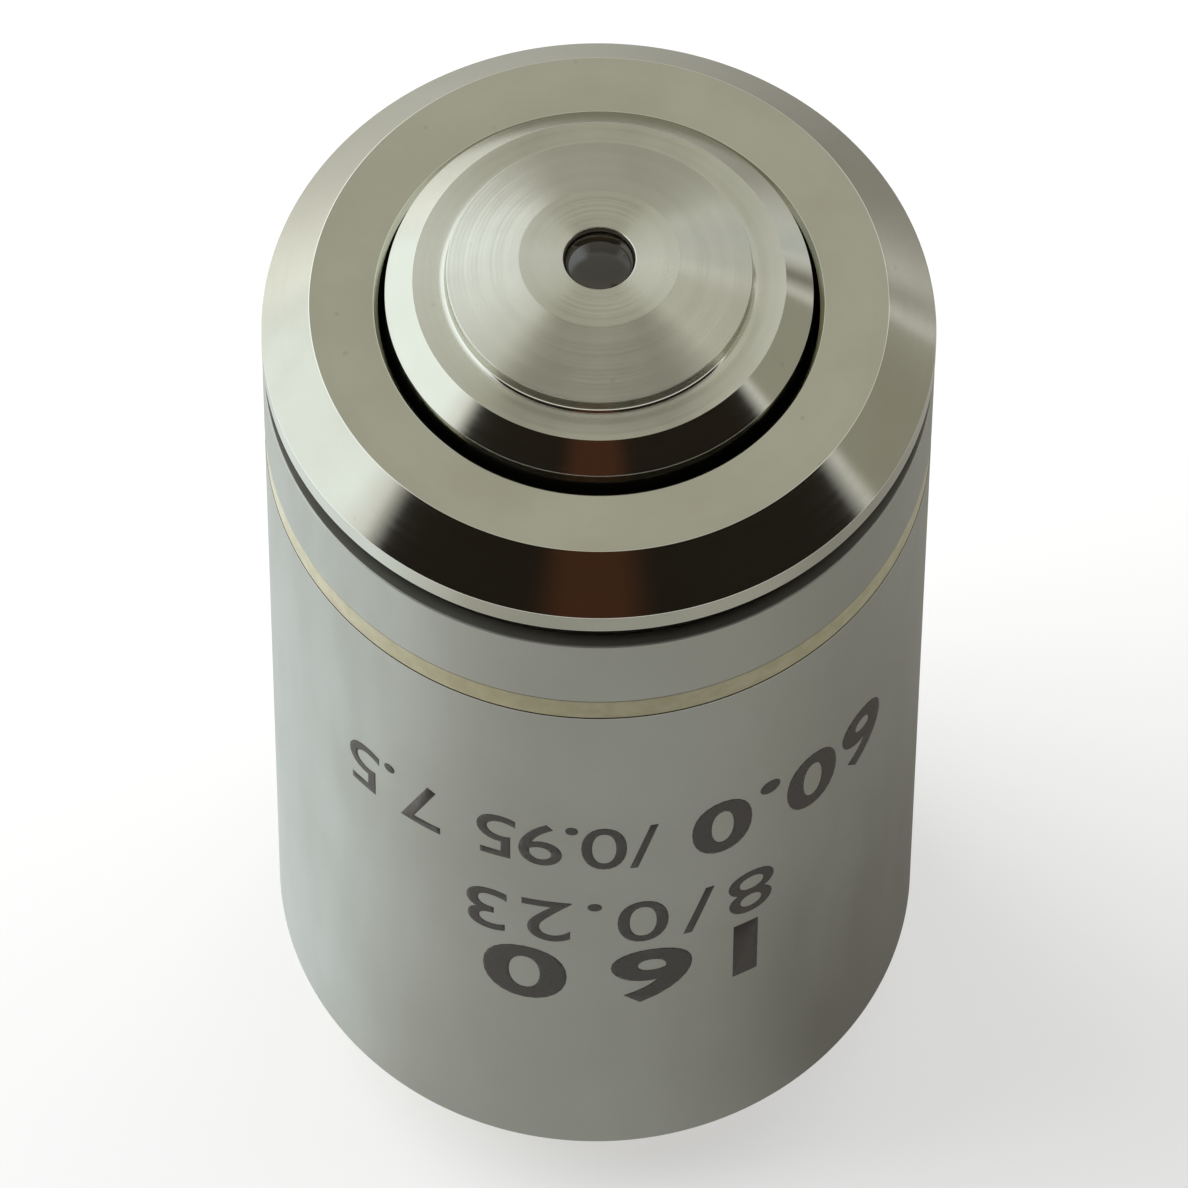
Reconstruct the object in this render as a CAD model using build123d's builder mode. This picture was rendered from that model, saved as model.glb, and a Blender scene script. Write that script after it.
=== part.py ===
"""Immersion objective for a microscope, with a spring-loaded lens unit.

Millimetres, +Z towards the front lens, origin on the axis at the mounting shoulder.
The body screws into a nosepiece by the thread below the shoulder. The lens unit slides
back into the body against a coil spring when the front lens meets a slide, and a pin in
a groove keeps it from turning. The thread is left as a plain cylinder of its major diameter.
"""

from build123d import *

from math import asin, degrees, sqrt
import os

# Overall
shoulder_to_front = 44.54
barrel_diameter = 24.5
retract_travel = 2.5

# Fits between pieces
screwed_fit = 0.05  # radial
sliding_fit = 0.05  # radial
cell_fit = 0.03  # radial
lens_fit = 0.03  # radial
seat_gap = 0.01  # axial
cement_gap = 0.02  # between the faces of two elements

# Front ring, from its face down
ring_drop = 3.0  # front face of the nose to the face of the ring
ring_chamfer = 1.75
ring_rim_height = 0.92
groove_height = 1.17
groove_depth = 0.55
ring_spigot_length = 2.5
ring_bore_bevel = 0.17
nose_to_ring_gap = 0.25

# Outer barrel and its colour band
barrel_wall = 1.5
barrel_edge_chamfer = 0.05
band_width = 1.25
band_depth = 0.3
band_recess = 0.03
band_below_barrel_top = 3.9

# Body tube
flange_step = 0.5
flange_height = 3.0
thread_diameter = 20.32  # 0.8 inch, cut with 36 turns to the inch
thread_length = 4.0
thread_relief_width = 0.5
thread_relief_depth = 0.6
shoulder_recess_width = 0.15  # beyond the thread
shoulder_recess_depth = 0.1
thread_chamfer = 0.45

# Nose
nose_diameter = 15.5
front_face_diameter = 5.8
front_hole_diameter = 2.63
cone_diameter = 11.05
cone_height = 0.89
step_height = 0.62
step_fillet = 0.33
nose_flat_diameter = 13.5
nose_chamfer_height = 0.84
nose_bore_depth = 2.4  # front face to the shoulder that the front cells rest on

# Front lens, more than half a ball with a flat front
front_lens_recess = 0.24
front_lens_diameter = 3.4
front_lens_flat_diameter = 2.4

# Lens sleeve
stop_ledge = 0.85
stop_gap = 0.02  # axial
guide_length = 18.0
neck_wall = 0.84
neck_gap = 0.4
lead_in_chamfer = 0.3

# Spring
spring_length = 9.0
spring_wire = 0.9
spring_turns = 3  # between the flat end coils
spring_grind = 0.2  # taken off the wire at each end

# Guide screw and its groove
guide_screw_diameter = 1.4
guide_screw_below_top = 8.0
guide_groove_depth = 0.9
guide_groove_side_gap = 0.1
driver_slot_width = 0.3
driver_slot_depth = 0.4

# Lens cells, and the rings that lock, space and stop them
cell_wall = 1.1
ledge_width = 0.5
cell_front_margin = 0.1
lock_ring_thickness = 1.2
lock_ring_width = 1.0
spanner_slot_width = 0.9
spanner_slot_depth = 0.6
spacer_length = 4.4
spacer_wall = 0.9
stop_thickness = 0.3
stop_hole_diameter = 6.0

# Rear baffle
baffle_thickness = 1.5
baffle_edge = 0.3
baffle_hole_diameter = 4.8
baffle_funnel_diameter = 9.0
baffle_clearance = 0.8  # left behind the lens unit when it is fully back

# Lens groups, each with its rim radius, its surface radii from the front (positive where a
# surface bulges forwards), the centre thickness of each element, and the height of its seat
meniscus_form = dict(rim=3.0, curves=[-4.2, -3.6], centres=[2.2], seat=1.3)
front_doublet_form = dict(rim=3.9, curves=[7.5, -6.0, -14.0], centres=[3.2, 1.0], seat=0.8)
triplet_form = dict(rim=5.0, curves=[16.0, 7.5, -7.0, -20.0], centres=[1.1, 4.8, 1.1], seat=0.8)
middle_doublet_form = dict(rim=4.9, curves=[12.0, -9.0, 40.0], centres=[3.2, 1.2], seat=0.8)
rear_doublet_form = dict(rim=3.8, curves=[8.0, -10.0, 5.0], centres=[4.0, 1.4], seat=0.8)


def drop(curve, distance):
    """How far a lens surface falls towards the rear, from its vertex out to a distance from the axis."""
    depth = abs(curve) - sqrt(curve**2 - distance**2)
    return depth if curve > 0 else -depth


class LensGroup:
    """Cemented elements in a cell whose front face is at top_z, with the heights that follow."""

    def __init__(self, top_z, rim, curves, centres, seat):
        self.rim, self.curves, self.centres = rim, curves, centres
        self.ledge_radius = rim - ledge_width
        rear_vertex = seat + seat_gap + max(drop(curves[-1], self.ledge_radius), drop(curves[-1], rim))
        front_vertex = rear_vertex + sum(centres) + cement_gap * (len(centres) - 1)
        length = max(front_vertex, front_vertex - drop(curves[0], rim)) + cell_front_margin
        self.top_z = top_z
        self.bottom_z = top_z - length
        self.seat_z = self.bottom_z + seat
        self.vertex_z = self.bottom_z + front_vertex


def ring(inner_radius, outer_radius, bottom_z, top_z):
    """Adds a plain ring about Z to the piece whose block calls this."""
    with BuildSketch(Plane.XY.offset(bottom_z)) as section:
        Circle(outer_radius)
        Circle(inner_radius, mode=Mode.SUBTRACT)
    extrude(section.sketch, amount=top_z - bottom_z)


def spanner_slot(outer_radius, bottom_z):
    """Cuts a slot across the rear face of the piece whose block calls this."""
    with BuildSketch(Plane.XY.offset(bottom_z)) as section:
        Rectangle(spanner_slot_width, 2 * outer_radius)
    extrude(section.sketch, amount=spanner_slot_depth, mode=Mode.SUBTRACT)


def save(piece, name):
    """Labels a finished piece and writes it to its own file."""
    piece.part.label = name
    export_step(piece.part, f"parts/{name}.step")


os.makedirs("parts", exist_ok=True)

# Heights of the outside, from the front face down
ring_face_z = shoulder_to_front - ring_drop
rim_top_z = ring_face_z - ring_chamfer
rim_bottom_z = rim_top_z - ring_rim_height
barrel_top_z = rim_bottom_z - groove_height
ring_bottom_z = barrel_top_z - ring_spigot_length
sleeve_top_z = ring_bottom_z - stop_gap
band_top_z = barrel_top_z - band_below_barrel_top

# The optical train, stacked from the front towards the rear
front_cells_top_z = shoulder_to_front - nose_bore_depth
meniscus = LensGroup(front_cells_top_z, **meniscus_form)
front_doublet = LensGroup(meniscus.bottom_z, **front_doublet_form)
nose_bottom_z = front_doublet.bottom_z - lock_ring_thickness
triplet = LensGroup(nose_bottom_z, **triplet_form)
middle_doublet = LensGroup(triplet.bottom_z, **middle_doublet_form)
spacer_bottom_z = middle_doublet.bottom_z - spacer_length
stop_bottom_z = spacer_bottom_z - stop_thickness
rear_doublet = LensGroup(stop_bottom_z, **rear_doublet_form)
sleeve_bottom_z = rear_doublet.bottom_z - lock_ring_thickness
sleeve_step_z = sleeve_top_z - guide_length
spring_ledge_z = sleeve_step_z - spring_length
baffle_top_z = sleeve_bottom_z - retract_travel - baffle_clearance
baffle_bottom_z = baffle_top_z - baffle_thickness
guide_screw_z = sleeve_top_z - guide_screw_below_top

# Radii of the lens unit, from its lenses outwards
front_cell_radius = front_doublet.rim + lens_fit + cell_wall
nose_bore_radius = front_cell_radius + cell_fit
rear_cell_radius = triplet.rim + lens_fit + cell_wall
sleeve_bore_radius = rear_cell_radius + cell_fit
neck_radius = sleeve_bore_radius + neck_wall
rear_bore_radius = neck_radius + neck_gap

# Radii of the body: its bores from the nose outwards, its outside from the barrel inwards
nose_radius = nose_diameter / 2
ring_bore_radius = nose_radius + nose_to_ring_gap
sleeve_radius = ring_bore_radius + stop_ledge
guide_bore_radius = sleeve_radius + sliding_fit
barrel_radius = barrel_diameter / 2
barrel_bore_radius = barrel_radius - barrel_wall
tube_radius = barrel_bore_radius - screwed_fit
counterbore_radius = barrel_bore_radius + flange_step
flange_radius = counterbore_radius - screwed_fit
band_floor_radius = barrel_radius - band_depth
thread_radius = thread_diameter / 2
relief_radius = thread_radius - thread_relief_depth
recess_radius = thread_radius + shoulder_recess_width
guide_screw_radius = guide_screw_diameter / 2
groove_floor_radius = sleeve_radius - guide_groove_depth

# Body tube: thread, shoulder flange, spring ledge, and the bore that guides the sleeve
with BuildPart() as body_tube:
    with BuildSketch(Plane.XZ):
        with BuildLine():
            Polyline(
                (rear_bore_radius, -thread_length),
                (thread_radius, -thread_length),
                (thread_radius, -thread_relief_width),
                (relief_radius, -thread_relief_width),
                (relief_radius, shoulder_recess_depth),
                (recess_radius, shoulder_recess_depth),
                (recess_radius, 0),
                (flange_radius, 0),
                (flange_radius, flange_height),
                (tube_radius, flange_height),
                (tube_radius, ring_bottom_z),
                (guide_bore_radius, ring_bottom_z),
                (guide_bore_radius, spring_ledge_z),
                (rear_bore_radius, spring_ledge_z),
                close=True,
            )
        make_face()
    revolve(axis=Axis.Z)
    thread_end = body_tube.edges().group_by(Axis.Z)[0].sort_by(SortBy.RADIUS)[-1]
    chamfer(thread_end, thread_chamfer)
    with Locations(Plane((0, -tube_radius, guide_screw_z), z_dir=(0, -1, 0))):
        Hole(guide_screw_radius, depth=tube_radius - groove_floor_radius)
save(body_tube, "body_tube")

# Outer barrel: a plain tube over the body tube, with the shallow groove of the colour band
with BuildPart() as outer_barrel:
    with BuildSketch(Plane.XZ):
        with BuildLine():
            Polyline(
                (counterbore_radius, 0),
                (barrel_radius, 0),
                (barrel_radius, band_top_z - band_width),
                (band_floor_radius, band_top_z - band_width),
                (band_floor_radius, band_top_z),
                (barrel_radius, band_top_z),
                (barrel_radius, barrel_top_z),
                (barrel_bore_radius, barrel_top_z),
                (barrel_bore_radius, flange_height),
                (counterbore_radius, flange_height),
                close=True,
            )
        make_face()
    revolve(axis=Axis.Z)
    bottom_edge = outer_barrel.edges().group_by(Axis.Z)[0].sort_by(SortBy.RADIUS)[-1]
    top_edge = outer_barrel.edges().group_by(Axis.Z)[-1].sort_by(SortBy.RADIUS)[-1]
    chamfer([bottom_edge, top_edge], barrel_edge_chamfer)
save(outer_barrel, "outer_barrel")

# Colour band: the enamel that fills the barrel's groove
with BuildPart() as colour_band:
    ring(band_floor_radius, barrel_radius - band_recess, band_top_z - band_width, band_top_z)
save(colour_band, "colour_band")

# Front ring: clamps the barrel on the tube, and stops the lens unit
with BuildPart() as front_ring:
    with BuildSketch(Plane.XZ):
        with BuildLine():
            Polyline(
                (ring_bore_radius, ring_bottom_z),
                (tube_radius, ring_bottom_z),
                (tube_radius, barrel_top_z),
                (barrel_radius - groove_depth, barrel_top_z),
                (barrel_radius - groove_depth, rim_bottom_z),
                (barrel_radius, rim_bottom_z),
                (barrel_radius, rim_top_z),
                (barrel_radius - ring_chamfer, ring_face_z),
                (ring_bore_radius, ring_face_z),
                close=True,
            )
        make_face()
    revolve(axis=Axis.Z)
    bore_edge = front_ring.edges().group_by(Axis.Z)[-1].sort_by(SortBy.RADIUS)[0]
    chamfer(bore_edge, ring_bore_bevel)
save(front_ring, "front_ring")

# Rear baffle: a disc with a funnelled hole for the light, and a slot across it for a spanner
with BuildPart() as rear_baffle:
    with BuildSketch(Plane.XZ):
        with BuildLine():
            Polyline(
                (baffle_funnel_diameter / 2, baffle_bottom_z),
                (rear_bore_radius - cell_fit, baffle_bottom_z),
                (rear_bore_radius - cell_fit, baffle_top_z),
                (baffle_hole_diameter / 2, baffle_top_z),
                (baffle_hole_diameter / 2, baffle_top_z - baffle_edge),
                close=True,
            )
        make_face()
    revolve(axis=Axis.Z)
    spanner_slot(rear_bore_radius, baffle_bottom_z)
save(rear_baffle, "rear_baffle")

# Guide screw: headless, with a plain tip that runs in the sleeve's groove
with BuildPart() as guide_screw:
    with BuildSketch(Plane.XZ.offset(groove_floor_radius + sliding_fit)):
        with Locations((0, guide_screw_z)):
            Circle(guide_screw_radius - cell_fit)
    extrude(amount=tube_radius - groove_floor_radius - 2 * sliding_fit)
    with BuildSketch(Plane.XZ.offset(tube_radius)):
        with Locations((0, guide_screw_z)):
            Rectangle(guide_screw_diameter, driver_slot_width)
    extrude(amount=-driver_slot_depth, mode=Mode.SUBTRACT)
save(guide_screw, "guide_screw")

# Return spring: tangent half turns that rise between two flat end coils, ground off at their seats
spring_radius = (neck_radius + guide_bore_radius) / 2
coil_count = round(2 * spring_turns)
coil_rise = (spring_length - spring_wire + 2 * spring_grind) / coil_count
with BuildPart() as return_spring:
    with BuildLine() as coil:
        side = 1
        coil_z = spring_ledge_z + spring_wire / 2 - spring_grind
        for rise in [0] + [coil_rise] * coil_count + [0]:
            ThreePointArc(
                (side * spring_radius, 0, coil_z),
                (0, side * sqrt(spring_radius**2 + (rise / 2) ** 2), coil_z + rise / 2),
                (-side * spring_radius, 0, coil_z + rise),
            )
            side = -side
            coil_z += rise
    centre_line = coil.wires()[0]
    with BuildSketch(Plane(centre_line @ 0, z_dir=centre_line % 0)):
        Circle(spring_wire / 2)
    sweep(path=centre_line)
    with Locations((0, 0, (spring_ledge_z + sleeve_step_z) / 2)):
        Cylinder(guide_bore_radius, spring_length, mode=Mode.INTERSECT)
save(return_spring, "return_spring")

# Lens sleeve: slides in the tube, with a neck through the spring and a groove for the guide screw
groove_width = guide_screw_diameter + 2 * guide_groove_side_gap
groove_length = groove_width + retract_travel
with BuildPart() as lens_sleeve:
    with BuildSketch(Plane.XZ):
        with BuildLine():
            Polyline(
                (sleeve_bore_radius, sleeve_bottom_z),
                (neck_radius, sleeve_bottom_z),
                (neck_radius, sleeve_step_z),
                (sleeve_radius, sleeve_step_z),
                (sleeve_radius, sleeve_top_z),
                (sleeve_bore_radius, sleeve_top_z),
                close=True,
            )
        make_face()
    revolve(axis=Axis.Z)
    sleeve_rims = lens_sleeve.edges().filter_by(GeomType.CIRCLE)
    step_rim = sleeve_rims.group_by(SortBy.RADIUS)[-1].sort_by(Axis.Z)[0]
    rear_rim = sleeve_rims.group_by(Axis.Z)[0].sort_by(SortBy.RADIUS)[-1]
    chamfer([step_rim, rear_rim], lead_in_chamfer)
    with BuildSketch(Plane.XZ.offset(sleeve_radius)):
        with Locations((0, guide_screw_z + retract_travel / 2)):
            SlotOverall(groove_length, groove_width, rotation=90)
    extrude(amount=-guide_groove_depth, mode=Mode.SUBTRACT)
save(lens_sleeve, "lens_sleeve")

# Nose: the stepped cone at the front, the bore of the front cells, and the front lens's pocket
cone_radius = cone_diameter / 2
cone_bottom_z = shoulder_to_front - cone_height
nose_flat_z = cone_bottom_z - step_height
front_lens_radius = front_lens_diameter / 2
front_lens_flat_z = shoulder_to_front - front_lens_recess
ball_depth = sqrt(front_lens_radius**2 - (front_lens_flat_diameter / 2) ** 2)
ball_z = front_lens_flat_z - ball_depth
pocket_radius = front_lens_radius + cement_gap
pocket_angle = degrees(asin(ball_depth / pocket_radius))
with BuildPart() as nose_cap:
    with BuildSketch(Plane.XZ):
        with BuildLine():
            pocket = CenterArc((0, ball_z), pocket_radius, 0, pocket_angle)
            outside = Polyline(
                pocket @ 1,
                (front_hole_diameter / 2, shoulder_to_front),
                (front_face_diameter / 2, shoulder_to_front),
                (cone_radius, cone_bottom_z),
                (cone_radius, nose_flat_z + step_fillet),
            )
            fillet_arc = TangentArc(
                outside @ 1, (cone_radius + step_fillet, nose_flat_z), tangent=(0, -1)
            )
            Polyline(
                fillet_arc @ 1,
                (nose_flat_diameter / 2, nose_flat_z),
                (nose_radius, nose_flat_z - nose_chamfer_height),
                (nose_radius, sleeve_top_z),
                (rear_cell_radius, sleeve_top_z),
                (rear_cell_radius, nose_bottom_z),
                (nose_bore_radius, nose_bottom_z),
                (nose_bore_radius, front_cells_top_z),
                (pocket_radius, front_cells_top_z),
                pocket @ 0,
            )
        make_face()
    revolve(axis=Axis.Z)
save(nose_cap, "nose_cap")

# Front lens: the ball-like lens in its pocket, flat towards the slide
front_lens_angle = degrees(asin(ball_depth / front_lens_radius))
with BuildPart() as front_lens:
    with BuildSketch(Plane.XZ):
        with BuildLine():
            ball = CenterArc((0, ball_z), front_lens_radius, -90, 90 + front_lens_angle)
            Polyline(ball @ 1, (0, front_lens_flat_z), ball @ 0)
        make_face()
    revolve(axis=Axis.Z)
save(front_lens, "front_lens")

# Lens elements, each cemented to the next, from the front of its group to the rear
for group, names in (
    (meniscus, ["meniscus_lens"]),
    (front_doublet, ["front_doublet_crown", "front_doublet_flint"]),
    (triplet, ["triplet_front", "triplet_middle", "triplet_rear"]),
    (middle_doublet, ["middle_doublet_crown", "middle_doublet_flint"]),
    (rear_doublet, ["rear_doublet_crown", "rear_doublet_flint"]),
):
    vertex_z = group.vertex_z
    for name, centre, front, rear in zip(names, group.centres, group.curves, group.curves[1:]):
        rear_z = vertex_z - centre
        half = group.rim / 2
        with BuildPart() as element:
            with BuildSketch(Plane.XZ):
                with BuildLine():
                    front_arc = ThreePointArc(
                        (0, vertex_z),
                        (half, vertex_z - drop(front, half)),
                        (group.rim, vertex_z - drop(front, group.rim)),
                    )
                    rear_arc = ThreePointArc(
                        (group.rim, rear_z - drop(rear, group.rim)),
                        (half, rear_z - drop(rear, half)),
                        (0, rear_z),
                    )
                    Line(front_arc @ 1, rear_arc @ 0)
                    Line(rear_arc @ 1, front_arc @ 0)
                make_face()
            revolve(axis=Axis.Z)
        save(element, name)
        vertex_z = rear_z - cement_gap

# Lens cells: each seats its group on a ledge, and stacks on the next cell
for name, group, outer_radius in (
    ("meniscus_cell", meniscus, front_cell_radius),
    ("front_doublet_cell", front_doublet, front_cell_radius),
    ("triplet_cell", triplet, rear_cell_radius),
    ("middle_doublet_cell", middle_doublet, rear_cell_radius),
    ("rear_doublet_cell", rear_doublet, rear_cell_radius),
):
    with BuildPart() as cell:
        with BuildSketch(Plane.XZ):
            with BuildLine():
                Polyline(
                    (group.ledge_radius, group.bottom_z),
                    (outer_radius, group.bottom_z),
                    (outer_radius, group.top_z),
                    (group.rim + lens_fit, group.top_z),
                    (group.rim + lens_fit, group.seat_z),
                    (group.ledge_radius, group.seat_z),
                    close=True,
                )
            make_face()
        revolve(axis=Axis.Z)
    save(cell, name)

# Lock rings: each holds a stack of cells from behind, with a slot across it for a spanner
for name, outer_radius, bottom_z in (
    ("front_lock_ring", front_cell_radius, nose_bottom_z),
    ("rear_lock_ring", rear_cell_radius, sleeve_bottom_z),
):
    with BuildPart() as lock_ring:
        ring(outer_radius - lock_ring_width, outer_radius, bottom_z, bottom_z + lock_ring_thickness)
        spanner_slot(outer_radius, bottom_z)
    save(lock_ring, name)

# Cell spacer and aperture stop, between the middle and the rear doublet
with BuildPart() as cell_spacer:
    ring(rear_cell_radius - spacer_wall, rear_cell_radius, spacer_bottom_z, middle_doublet.bottom_z)
save(cell_spacer, "cell_spacer")

with BuildPart() as aperture_stop:
    ring(stop_hole_diameter / 2, rear_cell_radius, stop_bottom_z, spacer_bottom_z)
save(aperture_stop, "aperture_stop")
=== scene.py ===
from math import asin, cos, degrees, pi, radians, sin, sqrt, tan

import bmesh
import bpy
from mathutils import Matrix, Vector


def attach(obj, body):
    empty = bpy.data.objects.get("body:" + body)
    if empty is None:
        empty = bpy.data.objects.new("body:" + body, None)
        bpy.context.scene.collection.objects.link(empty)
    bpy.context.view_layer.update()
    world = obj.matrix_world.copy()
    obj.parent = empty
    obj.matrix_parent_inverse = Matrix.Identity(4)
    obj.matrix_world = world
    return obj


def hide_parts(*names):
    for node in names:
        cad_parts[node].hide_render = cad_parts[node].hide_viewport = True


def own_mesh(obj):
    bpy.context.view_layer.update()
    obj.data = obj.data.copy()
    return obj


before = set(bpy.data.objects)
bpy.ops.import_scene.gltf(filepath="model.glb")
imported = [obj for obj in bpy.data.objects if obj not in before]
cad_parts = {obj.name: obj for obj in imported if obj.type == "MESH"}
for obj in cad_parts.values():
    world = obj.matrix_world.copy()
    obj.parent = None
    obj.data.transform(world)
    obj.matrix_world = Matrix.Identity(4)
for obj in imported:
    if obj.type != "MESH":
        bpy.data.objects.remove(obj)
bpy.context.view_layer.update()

mm = 0.001
print("frame loaded,", len(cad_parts), "nodes")


# small helpers for node trees

def feed(tree, node, sockets):
    for key, value in sockets.items():
        if isinstance(value, bpy.types.NodeSocket):
            tree.links.new(value, node.inputs[key])
        else:
            node.inputs[key].default_value = value


def addNode(tree, kind, sockets=None, **settings):
    made = tree.nodes.new(kind)
    for key, value in settings.items():
        setattr(made, key, value)
    feed(tree, made, sockets or {})
    return made


def doMath(tree, operation, first, second, clamp=False):
    sockets = {0: first, 1: second}
    return addNode(tree, "ShaderNodeMath", sockets, operation=operation, use_clamp=clamp).outputs[0]


def mixColour(tree, factor, first, second):
    # each colour is a socket or plain red, green and blue
    sides = [side + (1,) if isinstance(side, tuple) else side for side in (first, second)]
    sockets = {0: factor, 6: sides[0], 7: sides[1]}
    return addNode(tree, "ShaderNodeMix", sockets, data_type="RGBA").outputs[2]


def fadeBetween(tree, value, span, toSpan=(0.0, 1.0)):
    sockets = {0: value, 1: span[0], 2: span[1], 3: toSpan[0], 4: toSpan[1]}
    return addNode(tree, "ShaderNodeMapRange", sockets, interpolation_type="SMOOTHSTEP").outputs[0]


def grain(tree, coordinate, perMm, detail, roughness=0.5):
    sockets = {"Vector": coordinate, "Scale": perMm / mm, "Detail": detail, "Roughness": roughness}
    return addNode(tree, "ShaderNodeTexNoise", sockets).outputs["Fac"]


def ringGrain(tree, along, perMm, detail, roughness=0.5):
    sockets = {"W": along, "Scale": perMm / mm, "Detail": detail, "Roughness": roughness}
    return addNode(tree, "ShaderNodeTexNoise", sockets, noise_dimensions="1D").outputs["Fac"]


def bumpFrom(tree, height, strength, depth):
    sockets = {"Height": height, "Strength": strength, "Distance": depth * mm}
    return addNode(tree, "ShaderNodeBump", sockets).outputs[0]


def edgeShare(tree):
    # 1 on the rounded edges of a turned piece, 0 on its faces
    return addNode(tree, "ShaderNodeAttribute", attribute_name="edge").outputs["Fac"]


def heightOf(tree, coordinate):
    return addNode(tree, "ShaderNodeSeparateXYZ", {0: coordinate}).outputs["Z"]


def distanceFromAxis(tree, coordinate):
    sockets = {0: coordinate, 1: (1, 1, 0)}
    flat = addNode(tree, "ShaderNodeVectorMath", sockets, operation="MULTIPLY").outputs[0]
    return addNode(tree, "ShaderNodeVectorMath", {0: flat}, operation="LENGTH").outputs["Value"]


def newFinish(name):
    finish = bpy.data.materials.new(name)
    finish.use_nodes = True
    tree = finish.node_tree
    coordinate = addNode(tree, "ShaderNodeTexCoord").outputs["Object"]
    return finish, tree, tree.nodes["Principled BSDF"], coordinate


# turned metal: fine rings from the tool, cloudy handling marks, rounded edges that are smoother and carry a
# painted highlight in a lighter colour
turning = dict(climb=0.37, fineDetail=2.0, fineRoughness=0.6, broadPerMm=0.9, cloudsPerMm=0.16,
               cloudRoughness=0.55, specksPerMm=0.55, speckSpan=(0.03, 0.075),
               speckColour=(0.05, 0.045, 0.04), cloudSpan=(0.35, 0.7), broadSpan=(0.3, 0.7),
               dullSpan=(0.3, 0.75), dullShare=(0.88, 1.15), fineSpan=(0.35, 0.65), fineShare=0.08,
               edgeSmoothing=0.05, acrossGrooves=0.25, grooveDepth=0.004)


def turnedMetal(name, look):
    finish, tree, shader, coordinate = newFinish(name)
    climb = doMath(tree, "MULTIPLY", heightOf(tree, coordinate), turning["climb"])
    along = doMath(tree, "ADD", distanceFromAxis(tree, coordinate), climb)
    fineRings = ringGrain(tree, along, look["ringsPerMm"], turning["fineDetail"], turning["fineRoughness"])
    broadRings = ringGrain(tree, along, turning["broadPerMm"], 3.0)
    clouds = grain(tree, coordinate, turning["cloudsPerMm"], 5.0, turning["cloudRoughness"])
    speckSockets = {"Vector": coordinate, "Scale": turning["specksPerMm"] / mm}
    speckDistance = addNode(tree, "ShaderNodeTexVoronoi", speckSockets).outputs["Distance"]
    specks = fadeBetween(tree, speckDistance, turning["speckSpan"], (1.0, 0.0))
    edge = edgeShare(tree)
    cloudShare = fadeBetween(tree, clouds, turning["cloudSpan"])
    cloudy = mixColour(tree, cloudShare, look["colour"], look["cloudColour"])
    broad = fadeBetween(tree, broadRings, turning["broadSpan"], (0.0, look["ringTone"]))
    ringed = mixColour(tree, broad, cloudy, look["ringColour"])
    speckShare = doMath(tree, "MULTIPLY", specks, look["specks"])
    specked = mixColour(tree, speckShare, ringed, turning["speckColour"])
    # painted highlight: the rounded edges are mixed towards a lighter colour
    edgeHighlightShare = doMath(tree, "MULTIPLY", edge, look["paintedEdgeHighlight"])
    edgeHighlighted = mixColour(tree, edgeHighlightShare, specked, look["edgeColour"])
    dullest = tuple(look["roughness"] * share for share in turning["dullShare"])
    ripple = look["roughness"] * turning["fineShare"]
    dull = doMath(tree, "ADD", fadeBetween(tree, clouds, turning["dullSpan"], dullest),
                  fadeBetween(tree, fineRings, turning["fineSpan"], (-ripple, ripple)))
    smoothed = doMath(tree, "MULTIPLY", edge, turning["edgeSmoothing"])
    feed(tree, shader, {
        "Base Color": edgeHighlighted,
        "Roughness": doMath(tree, "SUBTRACT", dull, smoothed, clamp=True),
        "Metallic": 1.0,
        "Anisotropic": look["grain"],
        "Anisotropic Rotation": turning["acrossGrooves"],
        "Normal": bumpFrom(tree, fineRings, look["ringDepth"], turning["grooveDepth"]),
    })
    if look["grain"] > 0:
        tangent = addNode(tree, "ShaderNodeTangent", direction_type="RADIAL", axis="Z").outputs[0]
        feed(tree, shader, {"Tangent": tangent})
    return finish


noseLook = dict(colour=(0.70, 0.695, 0.61), cloudColour=(0.64, 0.63, 0.54),
                ringColour=(0.54, 0.53, 0.455), edgeColour=(0.80, 0.79, 0.72), roughness=0.33,
                grain=1.0, ringsPerMm=9.0, ringDepth=0.05, ringTone=0.25, specks=0.1, paintedEdgeHighlight=0.25)
noseRimLook = dict(noseLook, colour=(0.60, 0.60, 0.515), cloudColour=(0.56, 0.555, 0.47),
                   roughness=0.13, grain=0.6, ringDepth=0.03)
ringLook = dict(colour=(0.56, 0.555, 0.475), cloudColour=(0.51, 0.50, 0.42),
                ringColour=(0.46, 0.455, 0.38), edgeColour=(0.85, 0.84, 0.78), roughness=0.12,
                grain=0.55, ringsPerMm=11.0, ringDepth=0.03, ringTone=0.15, specks=0.12, paintedEdgeHighlight=0.75)
platedLook = dict(colour=(0.62, 0.57, 0.43), cloudColour=(0.54, 0.49, 0.35),
                  ringColour=(0.46, 0.42, 0.31), edgeColour=(0.80, 0.75, 0.60), roughness=0.24,
                  grain=0.5, ringsPerMm=6.0, ringDepth=0.3, ringTone=0.3, specks=0.2, paintedEdgeHighlight=0.6)
sleeveLook = dict(platedLook, colour=(0.64, 0.50, 0.25), cloudColour=(0.55, 0.41, 0.19),
                  ringColour=(0.45, 0.33, 0.15))
cellLook = dict(sleeveLook, colour=(0.60, 0.46, 0.22), roughness=0.3, ringsPerMm=8.0)
springLook = dict(noseLook, colour=(0.50, 0.49, 0.46), cloudColour=(0.42, 0.41, 0.38), roughness=0.26,
                  grain=0.0, ringColour=(0.33, 0.32, 0.30), ringsPerMm=4.0, specks=0.3)
screwLook = dict(springLook, colour=(0.38, 0.37, 0.35), cloudColour=(0.28, 0.27, 0.26), roughness=0.32)

noseSteel = turnedMetal("noseSteel", noseLook)
noseRimSteel = turnedMetal("noseRimSteel", noseRimLook)
ringChrome = turnedMetal("ringChrome", ringLook)
tubePlating = turnedMetal("tubePlating", platedLook)
sleeveBrass = turnedMetal("sleeveBrass", sleeveLook)
cellBrass = turnedMetal("cellBrass", cellLook)
springSteel = turnedMetal("springSteel", springLook)
screwSteel = turnedMetal("screwSteel", screwLook)


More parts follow.
